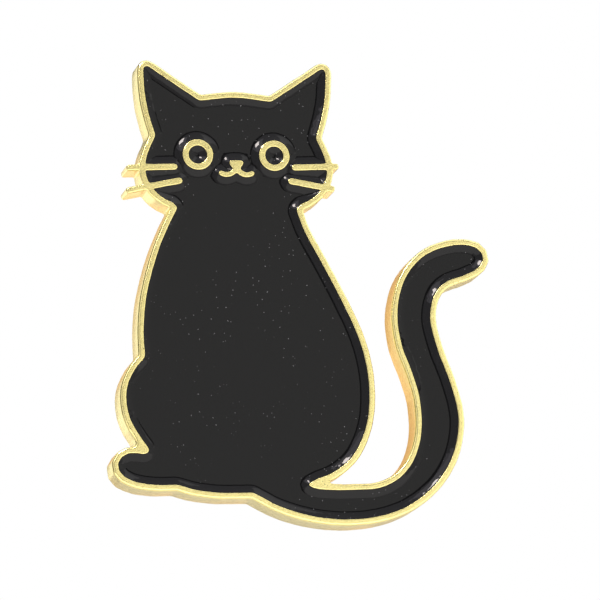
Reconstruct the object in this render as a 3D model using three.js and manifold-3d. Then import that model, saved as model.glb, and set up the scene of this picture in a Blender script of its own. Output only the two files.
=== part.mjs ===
// A lapel pin in the shape of a sitting cat: a gold-plated cast plate whose raised lines hold black
// soft enamel, and on its back two soldered posts, each with a butterfly clutch. Millimetres.
// The cat stands upright and faces -Y, +Z is up and +X is to the right of someone looking at it.
// The origin is on the plate's back face, midway between the two posts.
import * as THREE from "three";
import { mergeVertices } from "three/addons/utils/BufferGeometryUtils.js";
import Module from "manifold-3d";

const wasm = await Module();
wasm.setup();

// ---- Driving dimensions ----

// Plate
const pinHeight = 30; // over the metal, from the tail's lowest point to the ears
const plateThickness = 2;
const recessDepth = 0.5; // from the face of the metal lines to the floor under the enamel
const enamelSink = 0.25; // how far the enamel lies below the face of the metal lines
const rimWidth = 0.4;
const enamelGap = 0.02; // between enamel and metal, on every side

// Face
const eyeSpacing = 4.96; // between the eyes' centres
const eyeDrop = 3.76; // of the eyes' centres below the crown between the ears
const eyeRingRadius = 1;
const pupilRadius = 0.59;
const whiskerWidth = 0.41;
const whiskerTipSoftness = 0.11; // of the square tips outside the rim
const mouthLineWidth = 0.33;
const mouthArcRadius = 0.66;
const mouthArcRise = 0.22; // of the arcs' centres above the nose's foot
const noseDrop = 4.1; // of the nose's top edge below the crown
const noseWidth = 0.95; // at its widest
const noseFootWidth = 0.5;
const noseHeight = 0.5;
const noseSideHeight = 0.2; // of its upper stretch, above the slopes
const noseCornerCut = 0.06;

// Posts
const postSpacing = 16;
const postRadius = 0.5;
const postLength = 8; // from the plate's back face to the point
const postPointLength = 0.9;
const postPointRadius = 0.1;
const grooveDepth = 0.1;
const grooveLength = 0.6;
const grooveFromPoint = 1.5; // from the point to the groove's near edge
const footRadius = 1.6;
const footThickness = 0.42;
const footBevel = 0.13;
const solderWidth = 0.5; // how far the fillet spreads past the foot
const solderHeight = 0.28;
const seatGap = 0.02; // between the plate's back and what is soldered to it

// Butterfly clutches
const clutchStandOff = 0.6; // from the plate's back to the clutch's disc, as worn on thin cloth
const discThickness = 0.35;
const discBrim = 0.46; // the flat between the ring that holds the cap and the rolled edge
const discRollRadius = 0.32; // of the bead rolled round the disc's edge
const discHoleGap = 0.45; // round the post, in the disc
const runningGap = 0.1; // between the cap's flange and the ring that holds it
const ringWall = 0.25;
const capRadius = 2.9;
const capWall = 0.3;
const capHeight = 2.9;
const capFlangeWidth = 0.45;
const capFlangeThickness = 0.3;
const capCornerRadius = 0.45;
const postHoleGap = 0.25; // round the post, in the cap and in the spring
const wingThickness = 0.3;
const wingWidth = 3.4; // of its finger loop
const wingNeckWidth = 2.2; // inside the cap and in its window
const wingFlare = 0.8; // the length over which it widens, outside the cap
const wingStandOut = 2.2; // of the finger loop past the cap's side
const wingStandUp = 1.55; // of the finger loop's line over the cap's top
const jawLift = 0.7; // of the jaw's middle above the cap's foot
const jawGripGap = 0.05; // between a jaw and the post
const jawSplit = 0.15; // from the post's axis to each jaw's edge
const armRise = 0.85; // of the wing, from its jaw to where it passes the cap's wall
const windowGap = 0.2; // beside a wing, in the cap's window
const windowBelow = 0.95; // room in the window under a wing's middle, and over it
const windowAbove = 0.75;
const springThickness = 0.2;
const springWidth = 1.9;
const springSpan = 2.84; // between its feet
const springGap = 0.05; // between the spring's feet and the wings, and under the cap's top

// Fineness of the curved outlines
const outlineStep = 0.48;
const roundSegments = 32;

// ---- Solids ----

// A closed three.js geometry as a solid that can be joined and cut.
function solidOf(geometry) {
  const bare = new THREE.BufferGeometry();
  bare.setAttribute("position", geometry.getAttribute("position"));
  bare.setIndex(geometry.index);
  const merged = mergeVertices(bare, 1e-4);
  const corners = merged.index.array;
  const triVerts = [];
  for (let i = 0; i < corners.length; i += 3) {
    const [a, b, c] = corners.slice(i, i + 3);
    if (a !== b && b !== c && c !== a) triVerts.push(a, b, c);
  }
  const vertProperties = merged.attributes.position.array;
  return new wasm.Manifold(
    new wasm.Mesh({ numProp: 3, vertProperties, triVerts: new Uint32Array(triVerts) }),
  );
}

function geometryOf(solid) {
  const { vertProperties, triVerts } = solid.getMesh();
  const geometry = new THREE.BufferGeometry();
  geometry.setAttribute("position", new THREE.BufferAttribute(vertProperties, 3));
  geometry.setIndex(new THREE.BufferAttribute(triVerts, 1));
  return geometry;
}

// A shape drawn in x and z, filled from y = front to y = back.
function slab(shape, front, back) {
  const geometry = new THREE.ExtrudeGeometry(shape, {
    depth: back - front,
    bevelEnabled: false,
    curveSegments: roundSegments / 4,
  });
  return geometry.rotateX(Math.PI / 2).translate(0, back, 0);
}

// A profile of [radius, y] points, counterclockwise, turned round the Y axis.
function turned(profile) {
  const points = profile.map(([radius, y]) => new THREE.Vector2(radius, y));
  return new THREE.LatheGeometry(points, roundSegments);
}

// Points on an arc in a profile, from one angle to another, in degrees.
function profileArc(radius, y, arcRadius, from, to, steps = 5) {
  return Array.from({ length: steps + 1 }, (_, i) => {
    const angle = THREE.MathUtils.degToRad(from + ((to - from) * i) / steps);
    return [radius + arcRadius * Math.cos(angle), y + arcRadius * Math.sin(angle)];
  });
}

// ---- Outlines ----

// The outline of the enamel, counterclockwise, for a pin 30 mm high. A stroke is a smooth line
// between two inward corners. The head is drawn upright for its +X side, and leans a little to +X.
const drawnHeight = 30;
const outlineScale = pinHeight / drawnHeight;
const crown = [[2.33, 12.36], [0, 12.6], [-2.33, 12.36]];
const earOuterEdge = [[5.2, 10.05], [5.55, 11.2], [5.84, 12.7], [5.95, 14.8]];
const earInnerEdge = [[5.95, 14.8], [4.15, 13.57], [2.33, 12.36]];
const cheek = [
  [3.83, 5.38], [4.2, 5.72], [4.8, 6], [5.4, 6.55], [5.8, 7.3], [5.9, 8], [5.76, 8.75], [5.2, 10.05],
];
const flank = [
  [-3.83, 5.38], [-4.3, 4.5], [-5, 3], [-5.62, 1.2], [-6.1, -0.8], [-6.28, -2.7], [-6.24, -4.3],
];
const haunch = [[-6.24, -4.3], [-6.92, -5.1], [-7.4, -6.1], [-7.52, -7.1], [-7.25, -8.4], [-6.05, -10.35]];
const paw = [
  [-6.05, -10.35], [-6.6, -10.5], [-7.3, -10.4], [-7.95, -10.7], [-8.2, -11.3], [-7.85, -11.87],
  [-7.1, -12.24], [-5.9, -12.43], [-4.45, -12.42],
];
const belly = [[-4.45, -12.42], [-3.3, -12.74], [-1.8, -12.92], [0.4, -12.92]];
const tail = [
  [0.4, -12.92], [2.05, -13.78], [4, -14.38], [6.1, -14.62], [8.2, -14.46], [10.2, -13.83],
  [12.1, -12.45], [13.35, -10.6], [13.87, -8.2], [13.45, -5.9], [12.65, -3.5], [12.3, -1.6],
  [12.65, -0.1], [13.4, 0.7], [14.65, 1.18], [15.6, 1.65], [15.99, 2.35], [15.6, 2.95], [14.5, 3.17],
  [13.2, 2.93], [11.95, 2.3], [10.8, 0.95], [10.2, -1.1], [10.35, -3.3], [10.97, -5.15],
  [11.4, -6.9], [11.4, -9.1], [10.85, -10.8], [9.9, -11.95], [8.6, -12.6], [7.2, -12.73],
  [5.3, -12.74], [4.4, -12.66], [3.8, -12.4],
];
const breast = [
  [3.8, -12.4], [4.5, -12.06], [5.75, -11.53], [6.85, -10.6], [7.6, -9.3], [8, -7.9], [8.12, -6.2],
  [7.98, -4.6], [7.5, -2.75], [6.7, -0.85], [5.5, 1.62], [4.3, 3.98], [3.83, 5.38],
];

const neckHeight = 5.38;
const headLean = 0.018; // sideways for each millimetre above the neck
const crownTop = crown[1][1] * outlineScale;

// How far each corner is rounded back along its two sides, and each notch in the metal.
const cornerSoftness = 0.12;
const earTipSoftness = 0.62;
const notchSoftness = 0.34;
const metalNotchSoftness = 0.8;

const backwards = (points) => [...points].reverse();
const leanAt = (z) => headLean * (z - neckHeight);
const ofHead = (points, side) => points.map(([x, z]) => [side * x + leanAt(z), z]);

// A smooth line through the points, cut into short even steps.
function smooth(points) {
  const curve = new THREE.CatmullRomCurve3(
    points.map(([x, z]) => new THREE.Vector3(x * outlineScale, z * outlineScale, 0)),
    false,
    "centripetal",
  );
  curve.arcLengthDivisions = 50 * points.length;
  const steps = Math.max(3, Math.round(curve.getLength() / outlineStep));
  return curve.getSpacedPoints(steps).map((p) => new THREE.Vector2(p.x, p.y));
}

// A line without its last stretch of a given length, or without its first.
function shortened(line, length) {
  const kept = [...line];
  let rest = length;
  while (kept.length > 2) {
    const [before, last] = kept.slice(-2);
    const span = before.distanceTo(last);
    if (span > rest) {
      kept[kept.length - 1] = last.clone().lerp(before, rest / span);
      return kept;
    }
    rest -= span;
    kept.pop();
  }
  return kept;
}
const shortenedAtStart = (line, length) => shortened([...line].reverse(), length).reverse();

// The points of a rounded corner between two lines that meet there, its ends left out.
function roundedCorner(lineIn, lineOut, softness) {
  const from = shortened(lineIn, softness).at(-1);
  const to = shortenedAtStart(lineOut, softness)[0];
  return new THREE.QuadraticBezierCurve(from, lineIn.at(-1), to).getPoints(6).slice(1, -1);
}

// Two lines that meet in a corner as one line with that corner rounded.
function joinedLines(lineIn, lineOut, softness) {
  return [
    ...shortened(lineIn, softness),
    ...roundedCorner(lineIn, lineOut, softness),
    ...shortenedAtStart(lineOut, softness),
  ];
}

const rightEarEdges = [earOuterEdge, earInnerEdge].map((edge) => smooth(ofHead(edge, 1)));
const leftEarEdges = [earInnerEdge, earOuterEdge].map((edge) => smooth(ofHead(backwards(edge), -1)));
const corner = { softness: cornerSoftness, metalSoftness: 0 };
const notch = { softness: notchSoftness, metalSoftness: metalNotchSoftness };
// Each stroke names the corner at its end.
const strokes = [
  { line: joinedLines(...leftEarEdges, earTipSoftness), ...corner },
  { line: smooth(ofHead(backwards(cheek), -1)), ...corner },
  { line: smooth(flank), ...corner },
  { line: smooth(haunch), ...notch },
  { line: smooth(paw), ...corner },
  { line: smooth(belly), ...corner },
  { line: smooth(tail), ...notch },
  { line: smooth(breast), ...corner },
  { line: smooth(ofHead(cheek, 1)), ...corner },
  { line: joinedLines(...rightEarEdges, earTipSoftness), ...corner },
  { line: smooth(ofHead(crown, 1)), ...corner },
];

// Lines that meet end to end as one closed outline, with the corner at each one's end rounded.
function closedOutline(lines, softnesses) {
  return lines.flatMap((line, i) => {
    const next = lines[(i + 1) % lines.length];
    const straight = shortenedAtStart(shortened(line, softnesses[i]), softnesses.at(i - 1));
    if (!softnesses[i]) return straight.slice(0, -1);
    return [...straight, ...roundedCorner(line, next, softnesses[i])];
  });
}

const enamelOutline = () =>
  closedOutline(strokes.map(({ line }) => line), strokes.map(({ softness }) => softness));

// An open line moved to its right by a distance. The right of a counterclockwise outline is outside.
function movedRight(line, distance) {
  return line.map((point, i) => {
    const ahead = line[Math.min(i + 1, line.length - 1)];
    const behind = line[Math.max(i - 1, 0)];
    const along = ahead.clone().sub(behind).normalize();
    return new THREE.Vector2(point.x + along.y * distance, point.y - along.x * distance);
  });
}

// Where the end of one line crosses the start of the next, and after which point of each.
function crossing(lineIn, lineOut) {
  for (let i = lineIn.length - 2; i >= 0; i--) {
    for (let j = 0; j < Math.min(lineOut.length - 1, lineIn.length - i + 12); j++) {
      const [a, b, c, d] = [lineIn[i], lineIn[i + 1], lineOut[j], lineOut[j + 1]];
      const [u, v, w] = [b.clone().sub(a), d.clone().sub(c), c.clone().sub(a)];
      const turn = u.cross(v);
      const s = w.cross(v) / turn;
      const t = w.cross(u) / turn;
      if (s >= 0 && s <= 1 && t >= 0 && t <= 1) return { point: a.clone().addScaledVector(u, s), i, j };
    }
  }
  throw new Error("two strokes of the rim don't meet");
}

// The outline of the metal: the strokes moved outwards by the rim's width and cut where they cross.
function metalOutline() {
  const moved = strokes.map(({ line }) => movedRight(line, rimWidth));
  const corners = moved.map((line, i) => crossing(line, moved[(i + 1) % moved.length]));
  const cut = moved.map((line, i) => {
    const start = corners.at(i - 1);
    const end = corners[i];
    return [start.point, ...line.slice(start.j + 1, end.i + 1), end.point];
  });
  return closedOutline(cut, strokes.map(({ metalSoftness }) => metalSoftness));
}

// A closed outline moved inwards by a small clearance.
function shrunk(outline, clearance) {
  return outline.map((point, i) => {
    const ahead = outline[(i + 1) % outline.length];
    const behind = outline.at(i - 1);
    const along = ahead.clone().sub(behind).normalize();
    return new THREE.Vector2(point.x - along.y * clearance, point.y + along.x * clearance);
  });
}

// ---- Raised lines of the face ----

// Each is a function of how much wider it is drawn on every side, so that the enamel can be cut
// back from it.

// A straight bar that starts with a round end and ends with a square tip.
function bar([[x0, z0], [x1, z1]], width, tipSoftness) {
  const [from, to] = [new THREE.Vector2(x0, z0), new THREE.Vector2(x1, z1)];
  const angle = Math.atan2(z1 - z0, x1 - x0);
  const quarter = Math.PI / 2;
  const shape = new THREE.Shape();
  for (const side of [-1, 1]) {
    const start = angle + (side < 0 ? -quarter : 0);
    const corner = new THREE.Vector2(-tipSoftness, side * (width / 2 - tipSoftness));
    corner.rotateAround(new THREE.Vector2(), angle).add(to);
    shape.absarc(corner.x, corner.y, tipSoftness, start, start + quarter, false);
  }
  shape.absarc(from.x, from.y, width / 2, angle + quarter, angle + 3 * quarter, false);
  return shape;
}

// The two ends of each whisker's middle line.
const whiskerLines = [
  [[-3.95, 8.02], [-7.06, 7.91]],
  [[-3.66, 7.12], [-7.1, 6.41]],
  [[3.84, 8.08], [6.73, 8.2]],
  [[3.58, 7.18], [6.41, 6.68]],
].map((line) => line.map(([x, z]) => [x * outlineScale, z * outlineScale]));
const whiskers = (wider) =>
  whiskerLines.map((line) => bar(line, whiskerWidth + 2 * wider, whiskerTipSoftness));

const eyeHeight = crownTop - eyeDrop;
const eyeCentres = [-1, 1].map(
  (side) => new THREE.Vector2((side * eyeSpacing) / 2 + leanAt(eyeHeight), eyeHeight),
);
function disc(centre, radius) {
  const shape = new THREE.Shape();
  shape.absarc(centre.x, centre.y, radius, 0, 2 * Math.PI, false);
  return shape;
}
const eyeDiscs = (wider) => eyeCentres.map((centre) => disc(centre, eyeRingRadius + wider));

// The nose narrows to the stem that runs down from it, and the mouth's two arcs leave the stem.
const noseTop = crownTop - noseDrop;
const noseFoot = noseTop - noseHeight;
const muzzleMiddle = leanAt(noseTop);
function nose(wider) {
  const [wide, narrow] = [noseWidth / 2 + wider, noseFootWidth / 2 + wider];
  const halfAt = [
    [narrow, noseFoot - mouthLineWidth],
    [narrow, noseFoot],
    [wide, noseTop + wider - noseSideHeight],
    [wide - noseCornerCut, noseTop + wider],
  ];
  const outline = [...halfAt, ...backwards(halfAt).map(([x, z]) => [-x, z])];
  return new THREE.Shape(outline.map(([x, z]) => new THREE.Vector2(muzzleMiddle + x, z)));
}
const mouthArcSpan = [-24, -122]; // degrees, from the stem's side round to the free end
function mouthArc(side, wider) {
  const half = mouthLineWidth / 2 + wider;
  const centre = [muzzleMiddle + side * mouthArcRadius, noseFoot + mouthArcRise];
  const [inner, outer] = mouthArcSpan.map((degrees) => {
    const angle = THREE.MathUtils.degToRad(degrees);
    return side > 0 ? Math.PI - angle : angle;
  });
  const end = (angle) => [
    centre[0] + mouthArcRadius * Math.cos(angle),
    centre[1] + mouthArcRadius * Math.sin(angle),
  ];
  const back = side < 0;
  const shape = new THREE.Shape();
  shape.absarc(...centre, mouthArcRadius + half, inner, outer, back);
  shape.absarc(...end(outer), half, outer, outer + (back ? -Math.PI : Math.PI), back);
  shape.absarc(...centre, mouthArcRadius - half, outer, inner, !back);
  shape.absarc(...end(inner), half, inner + Math.PI, inner + (back ? 0 : 2 * Math.PI), back);
  return shape;
}
const muzzle = (wider) => [nose(wider), mouthArc(-1, wider), mouthArc(1, wider)];

// ---- Plate and enamel ----

const faceY = -plateThickness;
const floorY = faceY + recessDepth;
const enamelTopY = faceY + enamelSink;
const shapeOf = (outline) => new THREE.Shape(outline);
const joinedSlabs = (shapes, front, back) =>
  shapes.map((shape) => solidOf(slab(shape, front, back))).reduce((all, one) => all.add(one));
const past = 0.1; // how far a cutter runs past the face that it cuts through

function basePlate() {
  const recess = solidOf(slab(shapeOf(enamelOutline()), faceY - past, floorY));
  const pupils = joinedSlabs(eyeCentres.map((c) => disc(c, pupilRadius)), faceY - past, floorY);
  const raised = joinedSlabs([...eyeDiscs(0), ...muzzle(0), ...whiskers(0)], faceY, 0);
  return solidOf(slab(shapeOf(metalOutline()), faceY, 0)).subtract(recess).add(raised).subtract(pupils);
}

function bodyEnamel() {
  const fill = solidOf(slab(shapeOf(shrunk(enamelOutline(), enamelGap)), enamelTopY, floorY - enamelGap));
  const lines = [...eyeDiscs(enamelGap), ...muzzle(enamelGap), ...whiskers(enamelGap)];
  return fill.subtract(joinedSlabs(lines, enamelTopY - past, floorY));
}

const pupilEnamel = (centre) =>
  slab(disc(centre, pupilRadius - enamelGap), enamelTopY, floorY - enamelGap);

// ---- Posts ----

function post() {
  const grooveEnd = postLength - grooveFromPoint;
  const grooveStart = grooveEnd - grooveLength;
  const shoulder = postLength - postPointLength;
  return turned([
    [0, seatGap],
    [footRadius, seatGap],
    [footRadius, footThickness - footBevel],
    [footRadius - footBevel, footThickness],
    [postRadius, footThickness],
    [postRadius, grooveStart],
    [postRadius - grooveDepth, grooveStart + grooveDepth],
    [postRadius - grooveDepth, grooveEnd - grooveDepth],
    [postRadius, grooveEnd],
    [postRadius, shoulder],
    [postPointRadius, postLength - postPointRadius],
    [0, postLength],
  ]);
}

// A ring of solder round the foot, with a hollow slope like a fillet's.
function solderRing() {
  const inside = footRadius + seatGap;
  const steps = 4;
  const slope = Array.from({ length: steps + 1 }, (_, i) => {
    const angle = (i / steps) * (Math.PI / 2);
    return [
      inside + solderWidth * (1 - Math.sin(angle)),
      seatGap + solderHeight * (1 - Math.cos(angle)),
    ];
  });
  return turned([[inside, seatGap], ...slope, [inside, seatGap]]);
}

// ---- Butterfly clutch ----

// Drawn with its disc's front at y = 0, the post on the Y axis and the wings along X.
const capFootY = discThickness + runningGap;
const capTopY = capFootY + capHeight;
const capFlangeRadius = capRadius + capFlangeWidth;
const capInside = capRadius - capWall;
const lipY = capFootY + capFlangeThickness + runningGap;
const ringInside = capFlangeRadius + runningGap;
const ringOutside = ringInside + ringWall;

// The disc has its edge rolled back into a bead, and round its middle a ring whose lip turns in
// over the cap's flange and holds the cap.
function clutchDisc() {
  const discHoleRadius = postRadius + discHoleGap;
  const beadMiddle = ringOutside + discBrim + discRollRadius;
  const lipTop = lipY + ringWall;
  return turned([
    [discHoleRadius, 0],
    ...profileArc(beadMiddle, discRollRadius, discRollRadius, -90, 180, 9),
    [beadMiddle - discRollRadius, discThickness],
    [ringOutside, discThickness],
    [ringOutside, lipTop - ringWall / 2],
    [ringOutside - ringWall / 2, lipTop],
    [capRadius + runningGap, lipTop],
    [capRadius + runningGap, lipY],
    [ringInside, lipY],
    [ringInside, discThickness],
    [discHoleRadius, discThickness],
    [discHoleRadius, 0],
  ]);
}

// The wing's middle line in x and y, from its jaw, out through the cap's window and up to the loop
// that a finger presses.
const jawHeight = capFootY + jawLift;
const fulcrum = { x: capRadius - capWall / 2, y: jawHeight + armRise };
const loop = { x: capRadius + wingStandOut, y: capTopY + wingStandUp };
const wingLine = [
  [jawSplit, jawHeight],
  [fulcrum.x - 1.15, jawHeight],
  [fulcrum.x - 0.6, jawHeight + 0.27],
  [fulcrum.x, fulcrum.y],
  [fulcrum.x + 0.8, fulcrum.y + 0.75],
  [loop.x - 0.45, loop.y - 1.1],
  [loop.x - 0.15, loop.y - 0.5],
  [loop.x - 0.4, loop.y - 0.15],
  [loop.x - 0.85, loop.y - 0.3],
];

// A strip of even thickness bent along a line in x and y, centred on z = 0.
function strip(line, thickness, width, steps) {
  const curve = new THREE.CatmullRomCurve3(
    line.map(([x, y]) => new THREE.Vector3(x, y, 0)),
    false,
    "centripetal",
  );
  const middle = curve.getSpacedPoints(steps).map((p) => new THREE.Vector2(p.x, p.y));
  const side = movedRight(middle, thickness / 2);
  const otherSide = movedRight(middle, -thickness / 2);
  const shape = new THREE.Shape([...side, ...otherSide.reverse()]);
  const geometry = new THREE.ExtrudeGeometry(shape, { depth: width, bevelEnabled: false });
  return geometry.translate(0, 0, -width / 2);
}

// A cylinder along the Y axis, long enough to cut through the whole clutch.
const boreCutter = (radius) =>
  solidOf(new THREE.CylinderGeometry(radius, radius, 4 * capTopY, roundSegments));

// A wing is narrow as far as the cap's wall, and spreads outside it.
function clutchWing() {
  const [wide, narrow] = [wingWidth / 2, wingNeckWidth / 2];
  const [flareStart, end] = [capRadius + runningGap, loop.x + past];
  const halfPlan = [[0, narrow], [flareStart, narrow], [flareStart + wingFlare, wide], [end, wide]];
  const plan = [...halfPlan, ...backwards(halfPlan).map(([x, z]) => [x, -z])];
  const outline = new THREE.Shape(plan.map(([x, z]) => new THREE.Vector2(x, z)));
  const bent = solidOf(strip(wingLine, wingThickness, wingWidth + past, 16));
  return bent
    .intersect(solidOf(slab(outline, 0, loop.y + past)))
    .subtract(boreCutter(postRadius + jawGripGap));
}

function clutchCap() {
  const corner = profileArc(capRadius - capCornerRadius, capTopY - capCornerRadius, capCornerRadius, 0, 90);
  const shell = solidOf(
    turned([
      [capInside, capFootY],
      [capFlangeRadius, capFootY],
      [capFlangeRadius, capFootY + capFlangeThickness],
      [capRadius, capFootY + capFlangeThickness],
      ...corner,
      [postRadius + postHoleGap, capTopY],
      [postRadius + postHoleGap, capTopY - capWall],
      [capInside - capCornerRadius / 2, capTopY - capWall],
      [capInside, capTopY - capWall - capCornerRadius / 2],
      [capInside, capFootY],
    ]),
  );
  const [low, high] = [fulcrum.y - windowBelow, fulcrum.y + windowAbove];
  const windows = new THREE.BoxGeometry(4 * capRadius, high - low, wingNeckWidth + 2 * windowGap);
  return shell.subtract(solidOf(windows.translate(0, (low + high) / 2, 0)));
}

// A leaf bent over the post under the cap's top, whose feet press on the wings' inner arms.
function clutchSpring() {
  const top = capTopY - capWall - springGap - springThickness / 2;
  const feet = jawHeight + (wingThickness + springThickness) / 2 + springGap;
  const foot = springSpan / 2;
  const half = [[foot, feet], [foot - 0.12, feet + 0.45], [foot - 0.57, top - 0.2], [foot - 1.02, top]];
  const line = [...half, ...half.map(([x, y]) => [-x, y]).reverse()];
  const leaf = solidOf(strip(line, springThickness, springWidth, 18));
  return leaf.subtract(boreCutter(postRadius + postHoleGap));
}

// ---- Assembly ----

const goldPlate = { color: "#e6d071", roughness: 0.3, metalness: 1 };
const blackEnamel = { color: "#242426", roughness: 0.12, metalness: 0 };
const solder = { color: "#c9bb84", roughness: 0.45, metalness: 1 };
const brass = { color: "#d9b65a", roughness: 0.25, metalness: 1 };
const springSteel = { color: "#b9b6ae", roughness: 0.35, metalness: 1 };

function piece(name, geometry, finish) {
  const mesh = new THREE.Mesh(geometry, new THREE.MeshStandardMaterial(finish));
  mesh.name = name;
  return mesh;
}

const pin = new THREE.Group();
pin.add(piece("base_plate", geometryOf(basePlate()), goldPlate));
pin.add(piece("body_enamel", geometryOf(bodyEnamel()), blackEnamel));
pin.add(piece("left_pupil_enamel", pupilEnamel(eyeCentres[0]), blackEnamel));
pin.add(piece("right_pupil_enamel", pupilEnamel(eyeCentres[1]), blackEnamel));

// The upper clutch has its wings above and below its post, and the lower one beside its post.
const fasteners = [
  { name: "upper", height: postSpacing / 2, turn: -Math.PI / 2, wings: ["top_wing", "bottom_wing"] },
  { name: "lower", height: -postSpacing / 2, turn: 0, wings: ["right_wing", "left_wing"] },
];
for (const { name, height, turn, wings } of fasteners) {
  const onPlate = new THREE.Group();
  onPlate.position.set(0, 0, height);
  onPlate.add(piece(`${name}_post`, post(), goldPlate));
  onPlate.add(piece(`${name}_solder`, solderRing(), solder));

  const clutch = new THREE.Group();
  clutch.position.set(0, clutchStandOff, 0);
  clutch.rotation.y = turn;
  clutch.add(piece(`${name}_clutch_disc`, clutchDisc(), brass));
  clutch.add(piece(`${name}_clutch_cap`, geometryOf(clutchCap()), brass));
  clutch.add(piece(`${name}_clutch_spring`, geometryOf(clutchSpring()), springSteel));
  wings.forEach((wing, i) => {
    const mesh = piece(`${name}_clutch_${wing}`, geometryOf(clutchWing()), brass);
    mesh.rotation.y = i * Math.PI;
    clutch.add(mesh);
  });
  onPlate.add(clutch);
  pin.add(onPlate);
}

export default pin;
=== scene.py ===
"""The looks of a cat-shaped lapel pin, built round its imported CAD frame: gold-plated casting, black soft
enamel that climbs the metal lines, and the two soldered posts with their butterfly clutches."""
import math

import bmesh
import bpy
import numpy as np
from mathutils import Matrix, Vector, noise
from mathutils.geometry import delaunay_2d_cdt


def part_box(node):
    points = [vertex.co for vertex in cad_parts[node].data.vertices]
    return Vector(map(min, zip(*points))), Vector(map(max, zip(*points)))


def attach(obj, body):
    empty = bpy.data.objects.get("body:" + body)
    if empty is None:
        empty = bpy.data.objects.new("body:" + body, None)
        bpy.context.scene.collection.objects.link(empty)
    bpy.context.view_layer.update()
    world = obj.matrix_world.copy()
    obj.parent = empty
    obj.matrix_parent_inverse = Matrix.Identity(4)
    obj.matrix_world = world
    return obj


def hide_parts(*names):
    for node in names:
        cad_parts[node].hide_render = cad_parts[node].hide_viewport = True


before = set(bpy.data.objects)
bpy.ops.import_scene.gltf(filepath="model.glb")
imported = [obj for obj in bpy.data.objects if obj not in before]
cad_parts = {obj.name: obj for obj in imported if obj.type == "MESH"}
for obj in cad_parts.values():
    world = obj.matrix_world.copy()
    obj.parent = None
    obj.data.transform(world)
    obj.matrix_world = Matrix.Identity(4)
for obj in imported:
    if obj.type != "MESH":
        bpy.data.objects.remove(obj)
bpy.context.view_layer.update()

bl_info = {
    "name": "Soft-Enamel Pin",
    "version": (1, 0, 0),
    "blender": (4, 5, 0),
    "location": "3D View > Sidebar > Enamel Pin",
    "description": "Builds a soft-enamel lapel pin with butterfly clutches over its CAD frame",
    "category": "Object",
}

MM = 0.001
SCENE = bpy.context.scene


def linear(hex_code):
    """An sRGB hex colour as linear RGB."""
    parts = [int(hex_code[i : i + 2], 16) / 255 for i in (1, 3, 5)]
    return [c / 12.92 if c <= 0.04045 else ((c + 0.055) / 1.055) ** 2.4 for c in parts]


# ---- What a user would change ----


def length(name, description, millimetres):
    return bpy.props.FloatProperty(
        name=name, description=description, default=millimetres * MM, unit="LENGTH", precision=5
    )


def colour(name, description, hex_code):
    return bpy.props.FloatVectorProperty(
        name=name, description=description, default=linear(hex_code), subtype="COLOR", min=0, max=1
    )


class CastingSettings(bpy.types.PropertyGroup):
    edge_radius: length("Edge radius", "Rounding that tumbling leaves on the raised lines", 0.06)
    outer_radius: length("Outer edge radius", "Rounding round the casting's front edge", 0.15)
    back_radius: length("Back edge radius", "Rounding round the casting's back edge", 0.12)
    waver: length("Waver", "How far a cast edge strays from its drawn line", 0.014)
    grain: length("Grain", "Size of the sandy grain under the plating", 0.07)
    gold: colour("Gold", "Pale gold plating on the front and sides", "#fff3ac")
    back_gold: colour("Back gold", "Gold plating on the blasted back", "#f4dc88")


class EnamelSettings(bpy.types.PropertyGroup):
    climb: length("Climb", "How far the enamel climbs the metal walls", 0.22)
    climb_width: length("Climb width", "How far from a wall the enamel starts to climb", 0.56)
    sag: length("Sag", "Slow unevenness of the flat fill", 0.0025)
    black: colour("Black", "Pigment of the enamel", "#0b0b0c")
    speck: colour("Speck", "Dust and pinholes baked into the enamel", "#5f5f61")


class ClutchSettings(bpy.types.PropertyGroup):
    sheet: length("Sheet", "Thickness of the brass that the cap and wings are pressed from", 0.3)
    edge_radius: length("Edge radius", "Rounding on the pressed edges", 0.06)
    brass: colour("Brass", "Bright pressed brass", "#eec468")
    steel: colour("Steel", "Spring strip", "#c9c6bf")
    solder: colour("Solder", "Solder under a thin gold flash", "#d9c58c")


class PinSettings(bpy.types.PropertyGroup):
    casting: bpy.props.PointerProperty(type=CastingSettings)
    enamel: bpy.props.PointerProperty(type=EnamelSettings)
    clutch: bpy.props.PointerProperty(type=ClutchSettings)


# ---- Materials ----


def add(tree, kind, inputs=None, **settings):
    """A node with its settings, its input values and its links from other nodes' sockets."""
    node = tree.nodes.new(kind)
    for name, value in settings.items():
        setattr(node, name, value)
    for name, value in (inputs or {}).items():
        socket = node.inputs[name]
        if isinstance(value, bpy.types.NodeSocket):
            tree.links.new(value, socket)
        else:
            socket.default_value = value
    return node


def blank_material(name):
    """A new material, its empty tree and the place in the object that its patterns read."""
    material = bpy.data.materials.new(name)
    material.use_nodes = True
    tree = material.node_tree
    tree.nodes.clear()
    return material, tree, add(tree, "ShaderNodeTexCoord").outputs["Object"]


def surfaced(tree, tone, roughness, others):
    """Ends a material's tree with a Principled surface."""
    inputs = {"Base Color": tone, "Roughness": roughness, **others}
    principled = add(tree, "ShaderNodeBsdfPrincipled", inputs)
    add(tree, "ShaderNodeOutputMaterial", {"Surface": principled.outputs["BSDF"]})


def opaque(rgb, share=1.0):
    """A colour with its alpha, darkened to a share of itself."""
    return [c * share for c in rgb] + [1]


FIRST, SECOND, MIXED = 6, 7, 2  # the colour sockets of a Mix node
COLOURS = {"data_type": "RGBA"}


def speckle(tree, place, size, low, high, detail=2.0):
    """A noise of the given feature size, stretched so that low to high becomes 0 to 1."""
    grain = add(tree, "ShaderNodeTexNoise", {"Vector": place, "Scale": 1 / size, "Detail": detail})
    ends = {"Value": grain.outputs["Fac"], "From Min": low, "From Max": high}
    return add(tree, "ShaderNodeMapRange", ends).outputs["Result"]


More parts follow.
